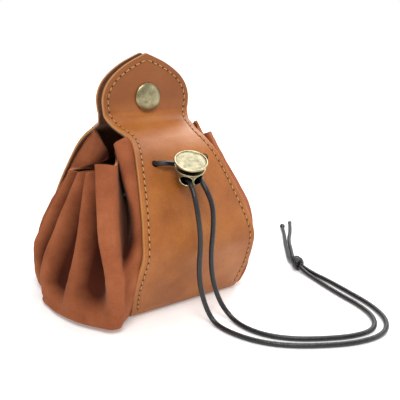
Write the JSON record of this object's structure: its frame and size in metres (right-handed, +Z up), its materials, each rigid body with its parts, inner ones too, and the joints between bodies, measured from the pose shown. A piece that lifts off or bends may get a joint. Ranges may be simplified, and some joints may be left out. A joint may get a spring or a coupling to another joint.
{
  "type": "drawstring pouch",
  "caption": "Small stitched leather pouch with gathered suede sides, two snapped head flaps, and a drawstring held by a metal cord lock.",
  "frame": {"origin": "on the surface that the pouch stands on, under the middle of the pouch itself", "axes": "+Z up, -Y to the front with the cord lock, +X to the right seen from the front"},
  "size_m": [0.1993, 0.1798, 0.1272],
  "materials": {
    "smooth_leather": "smooth tan leather, satin",
    "lining_leather": "soft lining leather, matt",
    "suede": "napped suede, matt",
    "thread": "waxed polyester thread",
    "waxed_cord": "round waxed cord, glossy black",
    "antique_brass": "antique brass, worn rims",
    "spring_steel": "bright spring wire"
  },
  "bodies": {
    "pouch": {"strap_body": "smooth_leather", "strap_lining": "lining_leather", "left_gusset": "suede", "right_gusset": "suede", "body_stitches": "thread", "drawstring": "waxed_cord", "left_strand": "waxed_cord", "right_strand": "waxed_cord", "knot": "waxed_cord", "left_tail": "waxed_cord", "right_tail": "waxed_cord", "lock_barrel": "antique_brass", "lock_spring": "spring_steel"},
    "front_neck": {"front_neck": "smooth_leather", "front_neck_lining": "lining_leather", "front_neck_stitches": "thread"},
    "front_head": {"front_head": "smooth_leather", "front_head_lining": "lining_leather", "front_head_stitches": "thread", "snap_cap": "antique_brass", "snap_socket": "antique_brass", "snap_spring_ring": "spring_steel"},
    "back_neck": {"back_neck": "smooth_leather", "back_neck_lining": "lining_leather", "back_neck_stitches": "thread"},
    "back_head": {"back_head": "smooth_leather", "back_head_lining": "lining_leather", "back_head_stitches": "thread", "snap_post": "antique_brass", "snap_stud": "antique_brass"},
    "lock_button": {"lock_button": "antique_brass"}
  },
  "joints": [
    {"name": "front_neck_fold", "type": "hinge", "parent": "pouch", "child": "front_neck", "pos_m": [0, -0.017, 0.0892], "axis": [1, 0, 0], "range_deg": [0, 35]},
    {"name": "front_head_fold", "type": "hinge", "parent": "front_neck", "child": "front_head", "pos_m": [0, -0.0042, 0.0965], "axis": [1, 0, 0], "range_deg": [0, 100]},
    {"name": "back_neck_fold", "type": "hinge", "parent": "pouch", "child": "back_neck", "pos_m": [0, 0.017, 0.0892], "axis": [-1, 0, 0], "range_deg": [0, 35]},
    {"name": "back_head_fold", "type": "hinge", "parent": "back_neck", "child": "back_head", "pos_m": [0, 0.0042, 0.0965], "axis": [-1, 0, 0], "range_deg": [0, 100]},
    {"name": "lock_press", "type": "slide", "parent": "pouch", "child": "lock_button", "axis": [0.1355, 0.4169, -0.8988], "range_m": [0, 0.0018], "stiffness_N_per_m": 400, "deforming": ["lock_spring"]}
  ]
}
